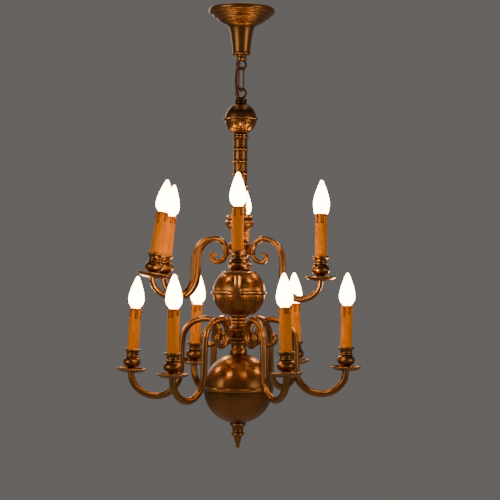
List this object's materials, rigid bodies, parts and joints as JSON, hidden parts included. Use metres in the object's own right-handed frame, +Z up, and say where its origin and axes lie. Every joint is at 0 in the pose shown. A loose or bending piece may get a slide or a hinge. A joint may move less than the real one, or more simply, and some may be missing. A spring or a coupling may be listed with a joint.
{
  "type": "multi arm chandelier",
  "caption": "Brass ball-and-column chandelier on a chain link, with two tiers of scrolled S-arms carrying drip pans, candle sleeves and flame bulbs.",
  "frame": {"origin": "centre of the ceiling face, on top of the ceiling bracket", "axes": "+Z up into the ceiling along the hanging axis; -Y towards the front arm of the upper tier; +X to its right"},
  "size_m": [0.4901, 0.429, 0.8782],
  "materials": {
    "aged_brass": "burnished, with brown patina in the recesses",
    "dark_brass": "dark patina",
    "zinc_steel": "zinc plated",
    "white_plastic": "moulded",
    "brown_flex": "smooth sheath",
    "amber_sleeve": "moulded amber candle sleeve with wax drips",
    "opal_glass": "frosted, warm white"
  },
  "bodies": {
    "ceiling_fitting": {"ceiling_bracket": "zinc_steel", "canopy": "aged_brass", "canopy_stem": "zinc_steel", "canopy_neck": "aged_brass", "upper_loop": "aged_brass", "terminal_block": "white_plastic"},
    "link": {"chain_link": "dark_brass", "supply_flex": "brown_flex"},
    "chandelier": {"lower_loop": "aged_brass", "small_ball_top": "aged_brass", "small_ball_bottom": "aged_brass", "column": "aged_brass", "knob": "aged_brass", "upper_hub": "aged_brass", "upper_neck": "aged_brass", "middle_ball_top": "aged_brass", "middle_ball_bottom": "aged_brass", "middle_neck": "aged_brass", "lower_hub": "aged_brass", "lower_neck": "aged_brass", "big_ball_top": "aged_brass", "big_ball_bottom": "aged_brass", "finial": "aged_brass", "tie_rod": "zinc_steel", "upper_arm_1": "aged_brass", "upper_arm_2": "aged_brass", "upper_arm_3": "aged_brass", "upper_arm_4": "aged_brass", "upper_arm_5": "aged_brass", "upper_arm_6": "aged_brass", "lower_arm_1": "aged_brass", "lower_arm_2": "aged_brass", "lower_arm_3": "aged_brass", "lower_arm_4": "aged_brass", "lower_arm_5": "aged_brass", "lower_arm_6": "aged_brass", "upper_candle_1": "amber_sleeve", "upper_candle_2": "amber_sleeve", "upper_candle_3": "amber_sleeve", "upper_candle_4": "amber_sleeve", "upper_candle_5": "amber_sleeve", "upper_candle_6": "amber_sleeve", "lower_candle_1": "amber_sleeve", "lower_candle_2": "amber_sleeve", "lower_candle_3": "amber_sleeve", "lower_candle_4": "amber_sleeve", "lower_candle_5": "amber_sleeve", "lower_candle_6": "amber_sleeve"},
    "upper_bulb_1": {"upper_bulb_1": "opal_glass"},
    "upper_bulb_2": {"upper_bulb_2": "opal_glass"},
    "upper_bulb_3": {"upper_bulb_3": "opal_glass"},
    "upper_bulb_4": {"upper_bulb_4": "opal_glass"},
    "upper_bulb_5": {"upper_bulb_5": "opal_glass"},
    "upper_bulb_6": {"upper_bulb_6": "opal_glass"},
    "lower_bulb_1": {"lower_bulb_1": "opal_glass"},
    "lower_bulb_2": {"lower_bulb_2": "opal_glass"},
    "lower_bulb_3": {"lower_bulb_3": "opal_glass"},
    "lower_bulb_4": {"lower_bulb_4": "opal_glass"},
    "lower_bulb_5": {"lower_bulb_5": "opal_glass"},
    "lower_bulb_6": {"lower_bulb_6": "opal_glass"}
  },
  "joints": [
    {"name": "link_swing", "type": "hinge", "parent": "ceiling_fitting", "child": "link", "pos_m": [0, 0, -0.1213], "axis": [1, 0, 0], "range_deg": [-12, 12], "deforming": ["supply_flex"]},
    {"name": "body_swing", "type": "hinge", "parent": "link", "child": "chandelier", "pos_m": [0, 0, -0.1638], "axis": [0.6428, -0.766, 0], "range_deg": [-12, 12], "deforming": ["supply_flex"]},
    {"name": "upper_bulb_1_turn", "type": "hinge", "parent": "chandelier", "child": "upper_bulb_1", "pos_m": [0.00826, -0.18181, -0.425], "axis": [0, 0, 1], "range_deg": [0, 1080]},
    {"name": "upper_bulb_2_turn", "type": "hinge", "parent": "chandelier", "child": "upper_bulb_2", "pos_m": [0.16309, -0.08855, -0.433], "axis": [0.0046, -0.0025, 1], "range_deg": [0, 1080]},
    {"name": "upper_bulb_3_turn", "type": "hinge", "parent": "chandelier", "child": "upper_bulb_3", "pos_m": [0.16227, 0.08884, -0.433], "axis": [0, 0, 1], "range_deg": [0, 1080]},
    {"name": "upper_bulb_4_turn", "type": "hinge", "parent": "chandelier", "child": "upper_bulb_4", "pos_m": [-0.00314, 0.18005, -0.42702], "axis": [0.0003, -0.0174, 0.9998], "range_deg": [0, 1080]},
    {"name": "upper_bulb_5_turn", "type": "hinge", "parent": "chandelier", "child": "upper_bulb_5", "pos_m": [-0.1503, 0.0816, -0.43189], "axis": [0.1117, -0.0606, 0.9919], "range_deg": [0, 1080]},
    {"name": "upper_bulb_6_turn", "type": "hinge", "parent": "chandelier", "child": "upper_bulb_6", "pos_m": [-0.14883, -0.07748, -0.43135], "axis": [0.1388, 0.0722, 0.9877], "range_deg": [0, 1080]},
    {"name": "lower_bulb_1_turn", "type": "hinge", "parent": "chandelier", "child": "lower_bulb_1", "pos_m": [0.09799, -0.18048, -0.61234], "axis": [-0.0374, 0.069, 0.9969], "range_deg": [0, 1080]},
    {"name": "lower_bulb_2_turn", "type": "hinge", "parent": "chandelier", "child": "lower_bulb_2", "pos_m": [0.21499, -0.00826, -0.61101], "axis": [0.0105, -0.0004, 0.9999], "range_deg": [0, 1080]},
    {"name": "lower_bulb_3_turn", "type": "hinge", "parent": "chandelier", "child": "lower_bulb_3", "pos_m": [0.10776, 0.17864, -0.61113], "axis": [-0.0252, -0.0418, 0.9988], "range_deg": [0, 1080]},
    {"name": "lower_bulb_4_turn", "type": "hinge", "parent": "chandelier", "child": "lower_bulb_4", "pos_m": [-0.10121, 0.17319, -0.61482], "axis": [0.0615, -0.1052, 0.9925], "range_deg": [0, 1080]},
    {"name": "lower_bulb_5_turn", "type": "hinge", "parent": "chandelier", "child": "lower_bulb_5", "pos_m": [-0.20994, 0.00806, -0.62122], "axis": [0.0627, -0.0024, 0.998], "range_deg": [0, 1080]},
    {"name": "lower_bulb_6_turn", "type": "hinge", "parent": "chandelier", "child": "lower_bulb_6", "pos_m": [-0.11006, -0.18173, -0.61701], "axis": [0.0072, 0.0119, 0.9999], "range_deg": [0, 1080]}
  ]
}
